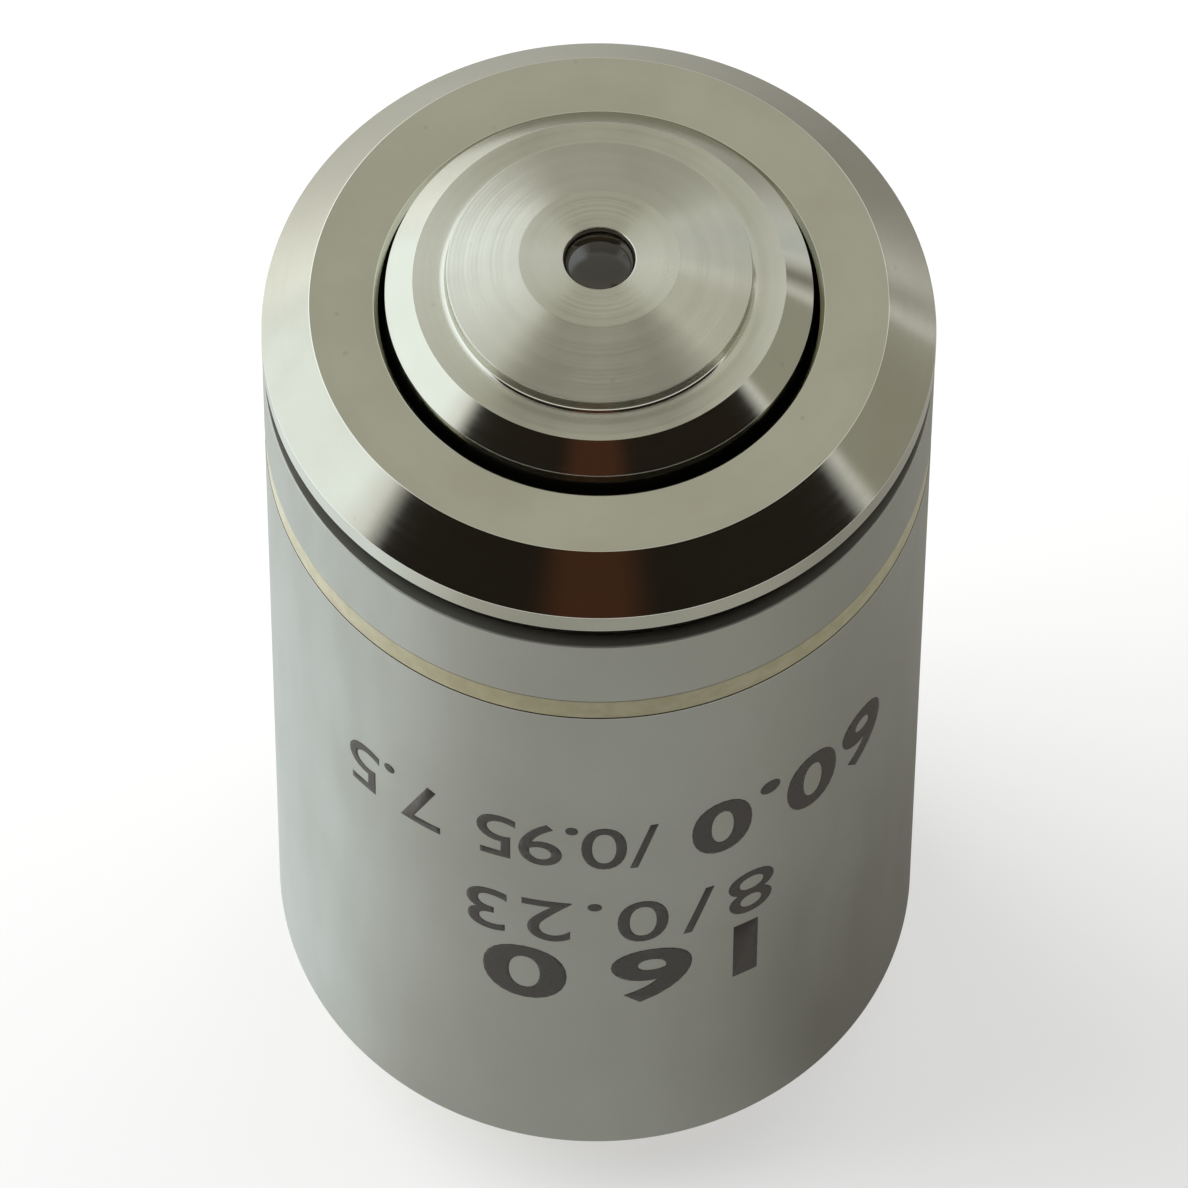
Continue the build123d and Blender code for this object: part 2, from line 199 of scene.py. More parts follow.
# matt chrome over a bead-blasted surface: a fine even grain with no direction
barrelLook = dict(colour=(0.46, 0.465, 0.425), cloudColour=(0.43, 0.43, 0.385),
                  grainColour=(0.38, 0.38, 0.345), edgeColour=(0.62, 0.62, 0.58), roughness=0.42,
                  metallic=0.9, grainsPerMm=22.0, grainRoughness=0.7, grainSpan=(0.35, 0.65),
                  grainTone=0.22, grainStrength=0.35, grainDepth=0.012, cloudsPerMm=0.09,
                  cloudSpan=(0.35, 0.68), smearsPerMm=0.5, smearStretch=(1, 1, 0.25),
                  smearSpan=(0.35, 0.7), smearDullness=(-0.03, 0.04), edgeWearAndHighlight=0.55, edgeSmoothing=0.12)


def blastedChrome(name, look):
    finish, tree, shader, coordinate = newFinish(name)
    beads = grain(tree, coordinate, look["grainsPerMm"], 3.0, look["grainRoughness"])
    clouds = grain(tree, coordinate, look["cloudsPerMm"], 4.0)
    stretched = addNode(tree, "ShaderNodeMapping", {0: coordinate, 3: look["smearStretch"]}).outputs[0]
    smears = grain(tree, stretched, look["smearsPerMm"], 4.0)
    edge = edgeShare(tree)
    cloudShare = fadeBetween(tree, clouds, look["cloudSpan"])
    cloudy = mixColour(tree, cloudShare, look["colour"], look["cloudColour"])
    beadTone = fadeBetween(tree, beads, look["grainSpan"], (0.0, look["grainTone"]))
    beaded = mixColour(tree, beadTone, cloudy, look["grainColour"])
    # lighter colour on the rounded edges: painted highlight, with the smoother roughness of wear below
    wearAndHighlight = mixColour(tree, doMath(tree, "MULTIPLY", edge, look["edgeWearAndHighlight"]), beaded, look["edgeColour"])
    dullness = tuple(look["roughness"] + change for change in look["smearDullness"])
    dull = fadeBetween(tree, smears, look["smearSpan"], dullness)
    smoothed = doMath(tree, "MULTIPLY", edge, look["edgeSmoothing"])
    feed(tree, shader, {
        "Base Color": wearAndHighlight,
        "Roughness": doMath(tree, "SUBTRACT", dull, smoothed, clamp=True),
        "Metallic": look["metallic"],
        "Normal": bumpFrom(tree, beads, look["grainStrength"], look["grainDepth"]),
    })
    return finish


barrelChrome = blastedChrome("barrelChrome", barrelLook)


# baked enamel wiped into a groove: slightly uneven, with painted shade darkening its upper edge and, more
# weakly, its lower edge
bandLook = dict(colour=(0.39, 0.35, 0.19), mottleColour=(0.34, 0.30, 0.155),
                shadeLineColour=(0.08, 0.066, 0.04), mottlePerMm=1.4, mottleSpan=(0.3, 0.7),
                dullness=(0.3, 0.42), upperShade=(0.16, 0.02), lowerShade=(0.02, 0.12), lowerShadeShare=0.5,
                shadeTone=0.7, coat=0.4, coatDullness=0.2, bumpStrength=0.3, bumpDepth=0.01)


def creamEnamel(name, look, bottomZ, topZ):
    finish, tree, shader, coordinate = newFinish(name)
    height = heightOf(tree, coordinate)
    mottle = grain(tree, coordinate, look["mottlePerMm"], 5.0)
    # painted shade: a dark line along the upper edge and a weaker one along the lower edge
    upperSpan = tuple((topZ - inset) * mm for inset in look["upperShade"])
    lowerSpan = tuple((bottomZ + inset) * mm for inset in look["lowerShade"])
    lowerShade = fadeBetween(tree, height, lowerSpan, (1.0, 0.0))
    paintedShade = doMath(tree, "ADD", fadeBetween(tree, height, upperSpan),
                   doMath(tree, "MULTIPLY", lowerShade, look["lowerShadeShare"]), clamp=True)
    mottleShare = fadeBetween(tree, mottle, look["mottleSpan"])
    body = mixColour(tree, mottleShare, look["colour"], look["mottleColour"])
    paintedShadeShare = doMath(tree, "MULTIPLY", paintedShade, look["shadeTone"])
    feed(tree, shader, {
        "Base Color": mixColour(tree, paintedShadeShare, body, look["shadeLineColour"]),
        "Roughness": fadeBetween(tree, mottle, look["mottleSpan"], look["dullness"]),
        "Coat Weight": look["coat"],
        "Coat Roughness": look["coatDullness"],
        "Normal": bumpFrom(tree, mottle, look["bumpStrength"], look["bumpDepth"]),
    })
    return finish


# anodised or painted dark surfaces, and a dark brown coat that is painted shade in recesses: fine tooth,
# faint grey rubs
coating = dict(rubsPerMm=0.45, rubRoughness=0.65, rubSpan=(0.55, 0.8), rub=0.5, toothSpan=(0.3, 0.7),
               toothDullness=0.06, bumpStrength=0.3, bumpDepth=0.01)


def darkCoating(name, look):
    finish, tree, shader, coordinate = newFinish(name)
    tooth = grain(tree, coordinate, look["toothPerMm"], 4.0)
    rubs = grain(tree, coordinate, look["rubsPerMm"], 5.0, look["rubRoughness"])
    rubTone = fadeBetween(tree, rubs, look["rubSpan"], (0.0, look["rub"]))
    dullness = (look["roughness"] - look["toothDullness"], look["roughness"] + look["toothDullness"])
    feed(tree, shader, {
        "Base Color": mixColour(tree, rubTone, look["colour"], look["rubColour"]),
        "Roughness": fadeBetween(tree, tooth, look["toothSpan"], dullness),
        "Metallic": look["metallic"],
        "Normal": bumpFrom(tree, tooth, look["bumpStrength"], look["bumpDepth"]),
    })
    return finish


blackLook = dict(coating, colour=(0.016, 0.015, 0.014), rubColour=(0.07, 0.065, 0.06), rub=0.6,
                 roughness=0.5, toothPerMm=14.0, metallic=0.0)
# painted shade: the groove under the rim, the gap walls, bores, band groove floor and lens pocket get a dark
# brown coat where shade falls between the parts
recessShadeLook = dict(coating, colour=(0.085, 0.075, 0.06), rubColour=(0.16, 0.15, 0.12), roughness=0.42,
                  toothPerMm=10.0, metallic=0.8)
numberLook = dict(coating, colour=(0.045, 0.037, 0.03), rubColour=(0.12, 0.105, 0.09), roughness=0.55,
                  toothPerMm=12.0, metallic=0.0)
blackAnodising = darkCoating("blackAnodising", blackLook)
paintedRecessShade = darkCoating("paintedRecessShade", recessShadeLook)
numberEnamel = darkCoating("numberEnamel", numberLook)


# lens glass with an anti-reflection coat, a little uneven towards the rim
glass = dict(driftPerMm=0.3, driftSpan=(0.3, 0.7), dullness=(0.015, 0.05), innerShare=0.6, bending=1.6,
             coat=0.5, coatDullness=0.02)


def coatedGlass(name, look):
    finish, tree, shader, coordinate = newFinish(name)
    drift = grain(tree, coordinate, look["driftPerMm"], 2.0)
    rimSpan = (look["clearRadius"] * look["innerShare"] * mm, look["clearRadius"] * mm)
    rimTone = fadeBetween(tree, distanceFromAxis(tree, coordinate), rimSpan)
    inner = mixColour(tree, drift, look["colour"], look["driftColour"])
    feed(tree, shader, {
        "Base Color": mixColour(tree, rimTone, inner, look["rimColour"]),
        "Roughness": fadeBetween(tree, drift, look["driftSpan"], look["dullness"]),
        "Transmission Weight": look["clearness"],
        "IOR": look["bending"],
        "Coat Weight": look["coat"],
        "Coat Roughness": look["coatDullness"],
        "Coat Tint": look["coatTint"] + (1,),
    })
    return finish


# painted shade: the front lens is coloured near black and lets little light through, standing in for the
# dark inside seen through it
frontLensLook = dict(glass, colour=(0.013, 0.011, 0.007), driftColour=(0.010, 0.009, 0.008),
                     rimColour=(0.024, 0.020, 0.013), coatTint=(1.0, 0.95, 0.86), clearness=0.2,
                     clearRadius=1.2)
innerLensLook = dict(glass, colour=(0.80, 0.84, 0.86), driftColour=(0.72, 0.76, 0.84),
                     rimColour=(0.35, 0.36, 0.36), coatTint=(0.60, 0.75, 1.0), clearness=0.9,
                     clearRadius=4.6)
frontLensGlass = coatedGlass("frontLensGlass", frontLensLook)
innerLensGlass = coatedGlass("innerLensGlass", innerLensLook)
print("finishes made")


# turned pieces, from a profile of corners: radius, height, rounding, place in the piece's list of finishes
lathe = dict(roundingSteps=5, mostOfSide=0.45, holdOff=0.5, segments=256)
# the dark place in each list of finishes holds that painted shade
bright, dark, rim = range(3)


def roundedProfile(corners):
    # a rounding becomes a short arc, with a point on the flat either side that holds the shading
    points = []
    for index, (radius, height, rounding, finish) in enumerate(corners):
        here = Vector((radius, height))
        if rounding == 0:
            points.append((here, 0.0, finish))
            continue
        earlier, later = corners[index - 1], corners[(index + 1) % len(corners)]
        before, after = Vector(earlier[:2]) - here, Vector(later[:2]) - here
        turn = before.angle(after)
        reach = min(rounding / tan(turn / 2), min(before.length, after.length) * lathe["mostOfSide"])
        before.normalize()
        after.normalize()
        centre = here + (before + after).normalized() * (reach / cos(turn / 2))
        start, end = here + before * reach, here + after * reach
        arc = pi - turn
        points.append((start + before * reach * lathe["holdOff"], 0.0, earlier[3]))
        for step in range(lathe["roundingSteps"] + 1):
            share = step / lathe["roundingSteps"]
            spoke = (start - centre) * sin((1 - share) * arc) + (end - centre) * sin(share * arc)
            points.append((centre + spoke / sin(arc), 1.0, finish if share >= 0.5 else earlier[3]))
        points.append((end + after * reach * lathe["holdOff"], 0.0, finish))
    return points


def linkPiece(name, data):
    piece = bpy.data.objects.new(name, data)
    bpy.context.scene.collection.objects.link(piece)
    return piece


def turnOnLathe(name, corners, finishes, segments=lathe["segments"]):
    form = bmesh.new()
    edgeLayer = form.verts.layers.float.new("edge")
    points = roundedProfile(corners)
    rings = []
    for point, shine, finish in points:
        count = 1 if point.x < 1e-6 else segments
        ring = []
        for step in range(count):
            angle, out = 2 * pi * step / segments, point.x * mm
            vertex = form.verts.new((out * cos(angle), out * sin(angle), point.y * mm))
            vertex[edgeLayer] = shine
            ring.append(vertex)
        rings.append(ring)
    for index, (point, shine, finish) in enumerate(points):
        lower, upper = rings[index], rings[(index + 1) % len(rings)]
        if len(lower) == len(upper) == 1:
            continue
        for step in range(segments):
            following = (step + 1) % segments
            if len(lower) == 1:
                face = form.faces.new((lower[0], upper[step], upper[following]))
            elif len(upper) == 1:
                face = form.faces.new((lower[step], upper[0], lower[following]))
            else:
                face = form.faces.new((lower[step], upper[step], upper[following], lower[following]))
            face.material_index = finish
            face.smooth = True
    bmesh.ops.remove_doubles(form, verts=form.verts, dist=1e-8)
    bmesh.ops.recalc_face_normals(form, faces=form.faces)
    mesh = bpy.data.meshes.new(name)
    form.to_mesh(mesh)
    form.free()
    for finish in finishes:
        mesh.materials.append(finish)
    return linkPiece(name, mesh)


def arcCorners(centreZ, radius, toAngle, fromAngle, steps, finish):
    corners = []
    for step in range(steps + 1):
        angle = radians(fromAngle + (toAngle - fromAngle) * step / steps)
        corners.append((radius * cos(angle), centreZ + radius * sin(angle), 0, finish))
    return corners


# nose: stepped cone round the front lens
nose = dict(frontZ=44.54, faceRadius=2.9, holeRadius=1.315, holeRounding=0.05, coneRadius=5.525,
            coneZ=43.65, flatZ=43.03, flatRadius=6.75, rimRadius=7.75, rimZ=42.19, paleWallZ=40.6,
            bottomZ=35.18, cellBore=5.06, cellTopZ=42.14, lowerBore=6.13, lowerZ=32.37, stepFillet=0.33,
            brokenEdge=0.035, coneEdge=0.0455, segments=288)
lens = dict(recess=0.24, radius=1.7, flatRadius=1.2, cement=0.02, segments=96)
lensTopZ = nose["frontZ"] - lens["recess"]
ballDepth = sqrt(lens["radius"] ** 2 - lens["flatRadius"] ** 2)
ballZ = lensTopZ - ballDepth
pocketRadius = lens["radius"] + lens["cement"]
pocketAngle = degrees(asin(ballDepth / pocketRadius))
noseCorners = arcCorners(ballZ, pocketRadius, pocketAngle, 0, 12, dark)[:-1] + [
    (pocketRadius * cos(radians(pocketAngle)), lensTopZ, 0, rim),
    (nose["holeRadius"], nose["frontZ"], nose["holeRounding"], bright),
    (nose["faceRadius"], nose["frontZ"], nose["brokenEdge"], bright),
    (nose["coneRadius"], nose["coneZ"], nose["coneEdge"], rim),
    (nose["coneRadius"], nose["flatZ"], nose["stepFillet"], bright),
    (nose["flatRadius"], nose["flatZ"], nose["brokenEdge"], rim),
    (nose["rimRadius"], nose["rimZ"], nose["brokenEdge"], rim),
    (nose["rimRadius"], nose["paleWallZ"], 0, dark),
    (nose["rimRadius"], nose["bottomZ"], 0, dark),
    (nose["lowerBore"], nose["bottomZ"], 0, dark),
    (nose["lowerBore"], nose["lowerZ"], 0, dark),
    (nose["cellBore"], nose["lowerZ"], 0, dark),
    (nose["cellBore"], nose["cellTopZ"], 0, dark),
    (pocketRadius, nose["cellTopZ"], 0, dark),
]
noseFinishes = [noseSteel, paintedRecessShade, noseRimSteel]
nosePiece = turnOnLathe("steppedNose", noseCorners, noseFinishes, nose["segments"])
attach(nosePiece, "lens_unit")
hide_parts("nose_cap")

lensAngle = degrees(asin(ballDepth / lens["radius"]))
lensCorners = arcCorners(ballZ, lens["radius"], lensAngle, -90, 40, bright) + [(0, lensTopZ, 0, bright)]
lensPiece = turnOnLathe("frontLens", lensCorners, [frontLensGlass], lens["segments"])
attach(lensPiece, "lens_unit")
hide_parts("front_lens")
print("nose and front lens turned")

# front ring: flat face, wide bevel, narrow rim and the groove below it
frontRing = dict(boreRadius=8.0, boreBevel=0.17, faceZ=41.54, radius=12.25, bevel=1.75, rimTopZ=39.79,
                 rimBottomZ=38.87, grooveRadius=11.7, grooveRounding=0.08, seatZ=37.70,
                 spigotRadius=10.7, bottomZ=35.20, brokenEdge=0.04, boreEdge=0.03, segments=320)
ringCorners = [
    (frontRing["boreRadius"], frontRing["bottomZ"], 0, dark),
    (frontRing["spigotRadius"], frontRing["bottomZ"], 0, dark),
    (frontRing["spigotRadius"], frontRing["seatZ"], 0, dark),
    (frontRing["grooveRadius"], frontRing["seatZ"], 0, dark),
    (frontRing["grooveRadius"], frontRing["rimBottomZ"], frontRing["grooveRounding"], dark),
    (frontRing["radius"], frontRing["rimBottomZ"], frontRing["brokenEdge"], bright),
    (frontRing["radius"], frontRing["rimTopZ"], frontRing["brokenEdge"], bright),
    (frontRing["radius"] - frontRing["bevel"], frontRing["faceZ"], frontRing["brokenEdge"], bright),
    (frontRing["boreRadius"] + frontRing["boreBevel"], frontRing["faceZ"], frontRing["boreEdge"], bright),
    (frontRing["boreRadius"], frontRing["faceZ"] - frontRing["boreBevel"], frontRing["boreEdge"], dark),
]
ringPiece = turnOnLathe("bevelledRing", ringCorners, [ringChrome, paintedRecessShade], frontRing["segments"])
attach(ringPiece, "body")
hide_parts("front_ring")

# barrel: plain satin tube with a shallow groove for the band
barrel = dict(radius=12.242, bottomZ=0.0, topZ=37.70, edgeChamfer=0.05, chamferRounding=0.01,
              brokenEdge=0.03, bandTopZ=33.80, bandWidth=1.25, bandFloor=11.95, boreRadius=10.75,
              counterbore=11.25, counterboreZ=3.0, segments=320)
bandBottomZ = barrel["bandTopZ"] - barrel["bandWidth"]
chamferRadius = barrel["radius"] - barrel["edgeChamfer"]
barrelCorners = [
    (barrel["counterbore"], barrel["bottomZ"], barrel["brokenEdge"], bright),
    (chamferRadius, barrel["bottomZ"], barrel["chamferRounding"], bright),
    (barrel["radius"], barrel["bottomZ"] + barrel["edgeChamfer"], barrel["chamferRounding"], bright),
    (barrel["radius"], bandBottomZ, barrel["brokenEdge"], dark),
    (barrel["bandFloor"], bandBottomZ, 0, dark),
    (barrel["bandFloor"], barrel["bandTopZ"], 0, dark),
    (barrel["radius"], barrel["bandTopZ"], barrel["brokenEdge"], bright),
    (barrel["radius"], barrel["topZ"] - barrel["edgeChamfer"], barrel["chamferRounding"], bright),
    (chamferRadius, barrel["topZ"], barrel["chamferRounding"], bright),
    (barrel["boreRadius"], barrel["topZ"], 0, dark),
    (barrel["boreRadius"], barrel["counterboreZ"], 0, dark),
    (barrel["counterbore"], barrel["counterboreZ"], 0, dark),
]
barrelPiece = turnOnLathe("satinBarrel", barrelCorners, [barrelChrome, paintedRecessShade], barrel["segments"])
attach(barrelPiece, "body")
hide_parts("outer_barrel")

# band: cream enamel in the barrel's groove
band = dict(radius=12.22, softEdge=0.07)
bandCorners = [
    (barrel["bandFloor"], bandBottomZ, 0, bright),
    (band["radius"], bandBottomZ, band["softEdge"], bright),
    (band["radius"], barrel["bandTopZ"], band["softEdge"], bright),
    (barrel["bandFloor"], barrel["bandTopZ"], 0, bright),
]
bandEnamel = creamEnamel("bandEnamel", bandLook, bandBottomZ, barrel["bandTopZ"])
bandPiece = turnOnLathe("creamBand", bandCorners, [bandEnamel], barrel["segments"])
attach(bandPiece, "body")
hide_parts("colour_band")
print("ring, barrel and band turned")

# body tube: shoulder, relief and the root of the mounting thread
tube = dict(rearBore=7.4, guideBore=8.9, radius=10.7, flangeRadius=11.2, flangeHeight=3.0, topZ=35.20,
            ledgeZ=8.18, threadBottomZ=-4.0, threadTopZ=-0.5, rootRadius=9.71, reliefRadius=9.56,
            recessRadius=10.31, recessDepth=0.1, boreRounding=0.12, endRounding=0.06,
            shoulderRounding=0.05, recessRounding=0.03)
tubeCorners = [
    (tube["rearBore"], tube["threadBottomZ"], tube["boreRounding"], bright),
    (tube["rootRadius"], tube["threadBottomZ"], tube["endRounding"], bright),
    (tube["rootRadius"], tube["threadTopZ"], 0, bright),
    (tube["reliefRadius"], tube["threadTopZ"], 0, bright),
    (tube["reliefRadius"], tube["recessDepth"], tube["shoulderRounding"], bright),
    (tube["recessRadius"], tube["recessDepth"], 0, bright),
    (tube["recessRadius"], 0, tube["recessRounding"], bright),
    (tube["flangeRadius"], 0, tube["shoulderRounding"], bright),
    (tube["flangeRadius"], tube["flangeHeight"], 0, bright),
    (tube["radius"], tube["flangeHeight"], 0, bright),
    (tube["radius"], tube["topZ"], 0, bright),
    (tube["guideBore"], tube["topZ"], 0, bright),
    (tube["guideBore"], tube["ledgeZ"], 0, bright),
    (tube["rearBore"], tube["ledgeZ"], 0, bright),
]
tubePiece = turnOnLathe("bodyTube", tubeCorners, [tubePlating])
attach(tubePiece, "body")
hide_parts("body_tube")


# thread and wire, swept along a helix by Geometry Nodes
helixDetail = dict(perTurn=96, wireSides=20, runOut=(0.0, 0.22), runOutSize=(0.25, 1.0))
helixInputs = ("Radius", "Section", "Turns", "Flat turns", "Start height", "End height", "Low cut",
               "High cut")


def sweptTree(name, isThread):
    tree = bpy.data.node_groups.new(name, "GeometryNodeTree")
    for number in helixInputs:
        tree.interface.new_socket(number, in_out="INPUT", socket_type="NodeSocketFloat")
    tree.interface.new_socket("Finish", in_out="INPUT", socket_type="NodeSocketMaterial")
    tree.interface.new_socket("Geometry", in_out="OUTPUT", socket_type="NodeSocketGeometry")
    given = addNode(tree, "NodeGroupInput").outputs
    circle = {"Resolution": helixDetail["perTurn"], "Rotations": given["Turns"],
              "Start Radius": given["Radius"], "End Radius": given["Radius"], "Height": 0.0}
    helix = addNode(tree, "GeometryNodeCurveSpiral", circle).outputs[0]
    share = addNode(tree, "GeometryNodeSplineParameter").outputs["Factor"]
    turnNow = doMath(tree, "MULTIPLY", share, given["Turns"])
    flatTurns = doMath(tree, "MULTIPLY", given["Flat turns"], 2.0)
    risingTurns = doMath(tree, "SUBTRACT", given["Turns"], flatTurns)
    risen = doMath(tree, "SUBTRACT", turnNow, given["Flat turns"])
    rise = doMath(tree, "DIVIDE", risen, risingTurns, clamp=True)
    span = doMath(tree, "SUBTRACT", given["End height"], given["Start height"])
    height = doMath(tree, "ADD", given["Start height"], doMath(tree, "MULTIPLY", span, rise))
    lift = addNode(tree, "ShaderNodeCombineXYZ", {"Z": height}).outputs[0]
    path = addNode(tree, "GeometryNodeSetPosition", {"Geometry": helix, "Offset": lift}).outputs[0]
    upright = addNode(tree, "GeometryNodeSetCurveNormal", {"Curve": path}, mode="Z_UP").outputs[0]
    outline = {"Resolution": 3 if isThread else helixDetail["wireSides"], "Radius": given["Section"]}
    section = addNode(tree, "GeometryNodeCurvePrimitiveCircle", outline).outputs[0]
    sweeping = {"Curve": upright, "Profile Curve": section, "Fill Caps": True}
    if isThread:  # the ridge points outward and runs out at both ends
        outward = {"Geometry": section, "Rotation": (0, 0, pi)}
        sweeping["Profile Curve"] = addNode(tree, "GeometryNodeTransform", outward).outputs[0]
        fromEnd = doMath(tree, "MINIMUM", turnNow, doMath(tree, "SUBTRACT", given["Turns"], turnNow))
        sweeping["Scale"] = fadeBetween(tree, fromEnd, helixDetail["runOut"], helixDetail["runOutSize"])
    swept = addNode(tree, "GeometryNodeCurveToMesh", sweeping).outputs[0]
    position = addNode(tree, "GeometryNodeInputPosition").outputs[0]
    parts = addNode(tree, "ShaderNodeSeparateXYZ", {0: position}).outputs
    belowTop = doMath(tree, "MINIMUM", parts["Z"], given["High cut"])
    kept = doMath(tree, "MAXIMUM", belowTop, given["Low cut"])
    cut = addNode(tree, "ShaderNodeCombineXYZ", {"X": parts["X"], "Y": parts["Y"], "Z": kept}).outputs[0]
    ground = addNode(tree, "GeometryNodeSetPosition", {"Geometry": swept, "Position": cut}).outputs[0]
    whole = addNode(tree, "GeometryNodeRealizeInstances", {0: ground}).outputs[0]
    painting = {"Geometry": whole, "Material": given["Finish"]}
    addNode(tree, "NodeGroupOutput", {0: addNode(tree, "GeometryNodeSetMaterial", painting).outputs[0]})
    return tree


def sweep(name, tree, values, finish, smooth):
    carrier = linkPiece(name + "Carrier", bpy.data.meshes.new(name + "Carrier"))
    modifier = carrier.modifiers.new("sweep", "NODES")
    modifier.node_group = tree
    for item in tree.interface.items_tree:
        if item.in_out == "INPUT":
            modifier[item.identifier] = finish if item.name == "Finish" else float(values[item.name])
    evaluated = carrier.evaluated_get(bpy.context.evaluated_depsgraph_get())
    mesh = bpy.data.meshes.new_from_object(evaluated)
    carrier.modifiers.clear()
    bpy.data.objects.remove(carrier)
    form = bmesh.new()
    form.from_mesh(mesh)
    bmesh.ops.remove_doubles(form, verts=form.verts, dist=1e-7)
    bmesh.ops.recalc_face_normals(form, faces=form.faces)
    for face in form.faces:
        face.smooth = smooth
    form.to_mesh(mesh)
    form.free()
    mesh.name = name
    return linkPiece(name, mesh)


# mounting thread: 36 turns to the inch, its ridge cut flat at both ends
thread = dict(majorRadius=10.16, pitch=0.7056, turns=4.25, topZ=-0.72, ridge=0.375, lowCut=-3.98,
              highCut=-0.45)
threadValues = {
    "Radius": (thread["majorRadius"] - thread["ridge"]) * mm, "Section": thread["ridge"] * mm,
    "Turns": thread["turns"], "Flat turns": 0.0,
    "Start height": (thread["topZ"] - thread["turns"] * thread["pitch"]) * mm,
    "End height": thread["topZ"] * mm,
    "Low cut": thread["lowCut"] * mm, "High cut": thread["highCut"] * mm,
}
threadPiece = sweep("mountingThread", sweptTree("threadRidge", True), threadValues, tubePlating, False)
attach(threadPiece, "body")

# return spring: its end turns lie flat and are ground
spring = dict(radius=7.95, wire=0.9, grind=0.2, length=9.0, turns=4, flatTurns=0.5, travel=2.5)
springBottom = tube["ledgeZ"]
springTop = springBottom + spring["length"]
wireHeight = spring["wire"] / 2 - spring["grind"]
springValues = {
    "Radius": spring["radius"] * mm, "Section": spring["wire"] / 2 * mm,
    "Turns": spring["turns"], "Flat turns": spring["flatTurns"],
    "Start height": (springBottom + wireHeight) * mm,
    "End height": (springTop - wireHeight) * mm,
    "Low cut": springBottom * mm, "High cut": springTop * mm,
}
springPiece = sweep("coilSpring", sweptTree("coiledWire", False), springValues, springSteel, True)
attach(springPiece, "body")
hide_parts("return_spring")
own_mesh(springPiece)
print("thread and spring swept")

# numbers on the barrel, filled with dark enamel and read with the nose hanging down
numbers = dict(proud=0.007, sink=0.02, cutEvery=0.2, heavyStroke=0.03, lightStroke=0.004, smoothness=6)
numberRows = [  # wide: width against height, tall: height of a figure, angles: where the row starts and ends
    dict(text="60.0", heavy=True, wide=0.98, tall=3.6, baseZ=24.7, fromAngle=-59, toAngle=-17),
    dict(text="/0.95", heavy=False, wide=0.88, tall=3.0, baseZ=24.4, fromAngle=-11, toAngle=21),
    dict(text="7.5", heavy=False, wide=0.88, tall=3.0, baseZ=24.4, fromAngle=28, toAngle=48),
    dict(text="8/0.23", heavy=False, wide=1.0, tall=3.0, baseZ=18.7, fromAngle=-33, toAngle=23),
    dict(text="160", heavy=True, wide=1.25, tall=3.8, baseZ=14.8, fromAngle=-30, toAngle=20),
]


def figureOutline(figure, heavy, name):
    letters = bpy.data.curves.new(name, "FONT")
    letters.body = figure
    letters.size = 1.0
    letters.resolution_u = numbers["smoothness"]
    letters.offset = numbers["heavyStroke"] if heavy else numbers["lightStroke"]
    holder = linkPiece(name + "Holder", letters)
    mesh = bpy.data.meshes.new_from_object(holder.evaluated_get(bpy.context.evaluated_depsgraph_get()))
    bpy.data.objects.remove(holder)
    return mesh


def numberRow(row, name):
    outlines = [figureOutline(figure, row["heavy"], "%s_%d" % (name, place))
                for place, figure in enumerate(row["text"])]
    scale = row["tall"] / max(vertex.co.y for outline in outlines for vertex in outline.vertices)
    spans = []
    for outline in outlines:
        across = [vertex.co.x for vertex in outline.vertices]
        spans.append((min(across), max(across)))
    arc = radians(row["toAngle"] - row["fromAngle"]) * barrel["radius"]
    inked = sum(right - left for left, right in spans) * scale * row["wide"]
    gap = (arc - inked) / (len(spans) - 1)
    form = bmesh.new()
    along = 0.0
    for outline, (left, right) in zip(outlines, spans):
        for vertex in outline.vertices:
            vertex.co.x = along + (vertex.co.x - left) * scale * row["wide"]
            vertex.co.y *= scale
        form.from_mesh(outline)
        along += (right - left) * scale * row["wide"] + gap
    bmesh.ops.remove_doubles(form, verts=form.verts, dist=1e-5)
    for cut in range(1, int(arc / numbers["cutEvery"]) + 1):
        everything = form.verts[:] + form.edges[:] + form.faces[:]
        plane = (cut * numbers["cutEvery"], 0, 0)
        bmesh.ops.bisect_plane(form, geom=everything, plane_co=plane, plane_no=(1, 0, 0))
    grown = bmesh.ops.extrude_face_region(form, geom=form.faces[:])
    outer = {item for item in grown["geom"] if isinstance(item, bmesh.types.BMVert)}
    for vertex in form.verts:
        angle = radians(row["fromAngle"]) + vertex.co.x / barrel["radius"]
        out = barrel["radius"] + (numbers["proud"] if vertex in outer else -numbers["sink"])
        vertex.co = Vector((-out * sin(angle), -out * cos(angle), row["baseZ"] - vertex.co.y)) * mm
    bmesh.ops.recalc_face_normals(form, faces=form.faces)
    mesh = bpy.data.meshes.new(name)
    form.to_mesh(mesh)
    form.free()
    return mesh


joined = bmesh.new()
for index, row in enumerate(numberRows):
    joined.from_mesh(numberRow(row, "row%d" % (index + 1)))
numberMesh = bpy.data.meshes.new("barrelNumbers")
joined.to_mesh(numberMesh)
joined.free()
numberMesh.materials.clear()
numberMesh.materials.append(numberEnamel)
numberPiece = linkPiece("barrelNumbers", numberMesh)
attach(numberPiece, "body")
print("numbers laid on the barrel")

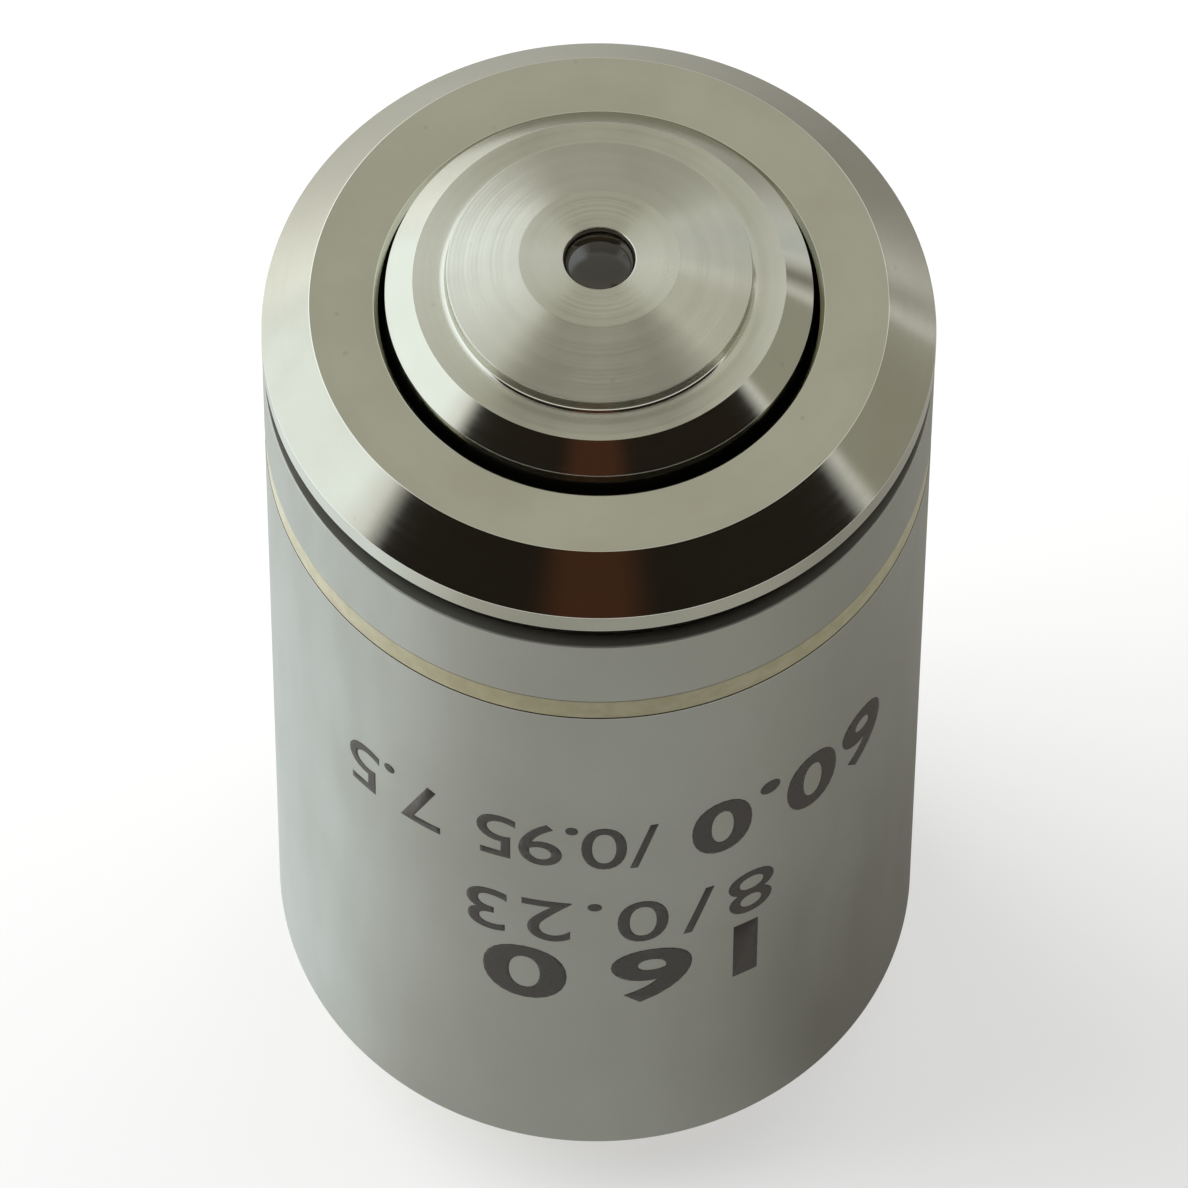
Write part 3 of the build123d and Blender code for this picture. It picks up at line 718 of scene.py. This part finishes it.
# finishes of the pieces that stay as the frame has them
keptPieces = [
    (blackAnodising, ("rear_baffle", "front_lock_ring", "rear_lock_ring", "cell_spacer", "aperture_stop")),
    (screwSteel, ("guide_screw",)),
    (sleeveBrass, ("lens_sleeve",)),
    (cellBrass, ("meniscus_cell", "front_doublet_cell", "triplet_cell", "middle_doublet_cell",
                 "rear_doublet_cell")),
    (innerLensGlass, ("meniscus_lens", "front_doublet_crown", "front_doublet_flint", "triplet_front",
                      "triplet_middle", "triplet_rear", "middle_doublet_crown", "middle_doublet_flint",
                      "rear_doublet_crown", "rear_doublet_flint")),
]
for finish, nodeNames in keptPieces:
    for nodeName in nodeNames:
        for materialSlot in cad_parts[nodeName].material_slots:
            materialSlot.material = finish
print("inner pieces finished")

# studio: pale floor and white surround, both brighter to the camera and in reflections than as light
studio = dict(floorZ=-4.0, floorRadius=1.6, floorSegments=96, floorColour=(0.86, 0.86, 0.85),
              floorGlow=(1, 1, 0.995), floorLift=0.5, surround=1.0, fill=0.6)


def newTree(data):
    data.use_nodes = True
    data.node_tree.nodes.clear()
    return data.node_tree


def seenShare(tree):
    # 1 for the camera, reflections and light through glass, 0 for the light that falls on things
    rays = addNode(tree, "ShaderNodeLightPath").outputs
    bent = doMath(tree, "MAXIMUM", rays["Is Glossy Ray"], rays["Is Transmission Ray"])
    return doMath(tree, "MAXIMUM", rays["Is Camera Ray"], bent)


def paleFloor(sizes):
    form = bmesh.new()
    bmesh.ops.create_circle(form, cap_ends=True, radius=sizes["floorRadius"],
                            segments=sizes["floorSegments"])
    for vertex in form.verts:
        vertex.co.z = sizes["floorZ"] * mm
    mesh = bpy.data.meshes.new("studioFloor")
    form.to_mesh(mesh)
    form.free()
    finish = bpy.data.materials.new("floorPaper")
    tree = newTree(finish)
    paper = addNode(tree, "ShaderNodeBsdfDiffuse", {"Color": sizes["floorColour"] + (1,)}).outputs[0]
    glow = addNode(tree, "ShaderNodeEmission", {"Color": sizes["floorGlow"] + (1,)}).outputs[0]
    share = doMath(tree, "MULTIPLY", seenShare(tree), sizes["floorLift"])
    mixed = addNode(tree, "ShaderNodeMixShader", {0: share, 1: paper, 2: glow}).outputs[0]
    addNode(tree, "ShaderNodeOutputMaterial", {"Surface": mixed})
    mesh.materials.append(finish)
    linkPiece("studioFloor", mesh)


def whiteSurround(sizes):
    world = bpy.data.worlds.new("studioSurround")
    bpy.context.scene.world = world
    tree = newTree(world)
    levels = {0: seenShare(tree), 3: sizes["fill"], 4: sizes["surround"]}
    strength = addNode(tree, "ShaderNodeMapRange", levels).outputs[0]
    glow = addNode(tree, "ShaderNodeBackground", {"Color": (1, 1, 1, 1), "Strength": strength}).outputs[0]
    addNode(tree, "ShaderNodeOutputWorld", {"Surface": glow})


paleFloor(studio)
whiteSurround(studio)


# cards that only reflections see, faded at their edges

def hangCard(name, card, placeAt, fadeAt):
    across, up = card["steps"]
    form = bmesh.new()
    fade = form.verts.layers.float.new("fade")
    rows = []
    for upStep in range(up + 1):
        row = []
        for step in range(across + 1):
            u, v = step / across, upStep / up
            vertex = form.verts.new(placeAt(card, u, v))
            sideways = 1.0 if card["allRound"] else min(1.0, min(u, 1 - u) / card["softSide"])
            vertex[fade] = sideways * min(1.0, fadeAt(card, v))
            row.append(vertex)
        rows.append(row)
    for lower, upper in zip(rows, rows[1:]):
        for step in range(across):
            form.faces.new((lower[step], lower[step + 1], upper[step + 1], upper[step]))
    bmesh.ops.remove_doubles(form, verts=form.verts, dist=1e-6)
    mesh = bpy.data.meshes.new(name)
    form.to_mesh(mesh)
    form.free()
    finish = bpy.data.materials.new(name + "Paper")
    tree = newTree(finish)
    glow = addNode(tree, "ShaderNodeEmission", {"Color": card["colour"] + (1,)}).outputs[0]
    through = addNode(tree, "ShaderNodeBsdfTransparent").outputs[0]
    share = addNode(tree, "ShaderNodeAttribute", attribute_name="fade").outputs["Fac"]
    mixed = addNode(tree, "ShaderNodeMixShader", {0: share, 1: through, 2: glow}).outputs[0]
    addNode(tree, "ShaderNodeOutputMaterial", {"Surface": mixed})
    mesh.materials.append(finish)
    piece = linkPiece(name, mesh)
    piece.visible_camera = False
    piece.visible_diffuse = card["shadesDiffuse"]
    piece.visible_shadow = False
    piece.visible_transmission = False


def between(span, share):
    return span[0] + (span[1] - span[0]) * share


# dome cards: patches of a dome round the object, angles in degrees, reach in metres
domeCard = dict(steps=(48, 16), centreZ=0.04, softSide=0.1, softTop=0.1, allRound=False, capped=False,
                shadesDiffuse=False)
domeCards = {
    "darkFront": dict(domeCard, azimuth=(-156, -11), elevation=(4, 74), reach=0.30,
                      colour=(0.017, 0.013, 0.009), softSide=0.04, softTop=0.12, shadesDiffuse=True),
    "warmMiddle": dict(domeCard, azimuth=(-108, -74), elevation=(9, 60), reach=0.29,
                       colour=(0.072, 0.028, 0.014), softSide=0.25),
    "brightLeft": dict(domeCard, azimuth=(108, 206), elevation=(-6, 53), reach=0.31,
                       colour=(1.34, 1.44, 1.5), softTop=0.12),
    "greyOverhead": dict(domeCard, azimuth=(0, 360), elevation=(42, 90), reach=0.34,
                         colour=(0.60, 0.60, 0.53), softTop=0.15, allRound=True, capped=True),
    "oliveRight": dict(domeCard, azimuth=(-12, 30), elevation=(-6, 46), reach=0.32,
                       colour=(0.40, 0.39, 0.33), softSide=0.08, softTop=0.15),
    "shelfRight": dict(domeCard, azimuth=(28, 41), elevation=(-7, 30), reach=0.315,
                       colour=(0.26, 0.25, 0.215), softSide=0.45, softTop=0.2),
    "blueRight": dict(domeCard, azimuth=(38, 60), elevation=(-7, 46), reach=0.325,
                      colour=(0.56, 0.60, 0.60), softSide=0.25, softTop=0.2),
    "greyBehind": dict(domeCard, azimuth=(56, 112), elevation=(-4, 48), reach=0.33,
                       colour=(0.40, 0.40, 0.35), softSide=0.2, softTop=0.12),
}


def domePlace(card, u, v):
    azimuth, elevation = radians(between(card["azimuth"], u)), radians(between(card["elevation"], v))
    direction = Vector((cos(elevation) * cos(azimuth), cos(elevation) * sin(azimuth), sin(elevation)))
    return direction * card["reach"] + Vector((0, 0, card["centreZ"]))


def domeFade(card, v):
    return min(v, 1.0 if card["capped"] else 1 - v) / card["softTop"]


for cardName, card in domeCards.items():
    hangCard(cardName, card, domePlace, domeFade)

# table cards: sheets just over the floor, radius and lift in millimetres; in reflections they stand in for
# the floor, with a painted pool of light to the left, painted shadow to the right and a darker painted
# contact shadow at the foot
tableCard = dict(steps=(60, 10), softSide=0.3, softRim=0.35, allRound=False, shadesDiffuse=False)
tableCards = {
    "tableRound": dict(tableCard, azimuth=(0, 360), radius=(12.5, 260), lift=0.05,
                       colour=(0.60, 0.60, 0.56), allRound=True),
    "paintedLightLeft": dict(tableCard, azimuth=(122, 232), radius=(12.5, 130), lift=0.10,
                      colour=(0.98, 1.06, 1.08)),
    "tableFront": dict(tableCard, azimuth=(-135, -40), radius=(12.5, 130), lift=0.15,
                       colour=(0.47, 0.475, 0.45)),
    "paintedShadowRight": dict(tableCard, azimuth=(-62, 106), radius=(12.5, 900), lift=0.20,
                       colour=(0.36, 0.35, 0.32), softSide=0.25),
    "paintedFootShadow": dict(tableCard, azimuth=(-80, 60), radius=(12.5, 30), lift=0.25,
                      colour=(0.17, 0.16, 0.14)),
}


def tablePlace(card, u, v):
    azimuth = radians(between(card["azimuth"], u))
    nearest, furthest = card["radius"]
    out = nearest * (furthest / nearest) ** v
    return Vector((out * cos(azimuth), out * sin(azimuth), studio["floorZ"] + card["lift"])) * mm


def tableFade(card, v):
    return (1 - v) / card["softRim"]


for cardName, card in tableCards.items():
    hangCard(cardName, card, tablePlace, tableFade)

# lamps: two large soft ones, which the metal doesn't reflect because the cards do that
lamps = {
    "softKey": dict(place=(-0.60, 0.20, 0.42), size=0.8, energy=9.0, colour=(0.98, 1.0, 1.0)),
    "softFill": dict(place=(0.5, 0.35, 0.5), size=0.8, energy=2.0, colour=(1.0, 1.0, 1.0)),
}
lampTarget = Vector((0, 0, 0.02))
for lampName, lamp in lamps.items():
    light = bpy.data.lights.new(lampName, "AREA")
    light.size = lamp["size"]
    light.energy = lamp["energy"]
    light.color = lamp["colour"]
    holder = linkPiece(lampName, light)
    holder.location = lamp["place"]
    holder.visible_glossy = False
    holder.rotation_euler = (lampTarget - Vector(lamp["place"])).to_track_quat("-Z", "Y").to_euler()
print("studio set up")

# camera: a long lens, about half a metre away, looking down on the nose
view = dict(target=(0, 0, 41.54), distance=482.96, elevation=58.31, lens=404.57, sensor=36,
            nearest=0.01, furthest=20, lookDown=1.2536, lookAside=-0.0126, roll=0.4102)


def placeCamera(sizes):
    elevation, down = radians(sizes["elevation"]), radians(sizes["lookDown"])
    aside, roll = radians(sizes["lookAside"]), radians(sizes["roll"])
    target = Vector(sizes["target"]) * mm
    place = target + Vector((0, -cos(elevation), sin(elevation))) * sizes["distance"] * mm
    ahead = (target - place).normalized()
    right = ahead.cross(Vector((0, 0, 1))).normalized()
    up = right.cross(ahead)
    ahead, up = ahead * cos(down) - up * sin(down), up * cos(down) + ahead * sin(down)
    ahead, right = ahead * cos(aside) + right * sin(aside), right * cos(aside) - ahead * sin(aside)
    right, up = right * cos(roll) + up * sin(roll), up * cos(roll) - right * sin(roll)
    longLens = bpy.data.cameras.new("longLens")
    longLens.lens = sizes["lens"]
    longLens.sensor_width = sizes["sensor"]
    longLens.clip_start = sizes["nearest"]
    longLens.clip_end = sizes["furthest"]
    holder = linkPiece("longLens", longLens)
    holder.matrix_world = Matrix.Translation(place) @ Matrix((right, up, -ahead)).transposed().to_4x4()
    bpy.context.scene.camera = holder


placeCamera(view)
bpy.context.scene.view_settings.view_transform = "Standard"
print("camera placed")
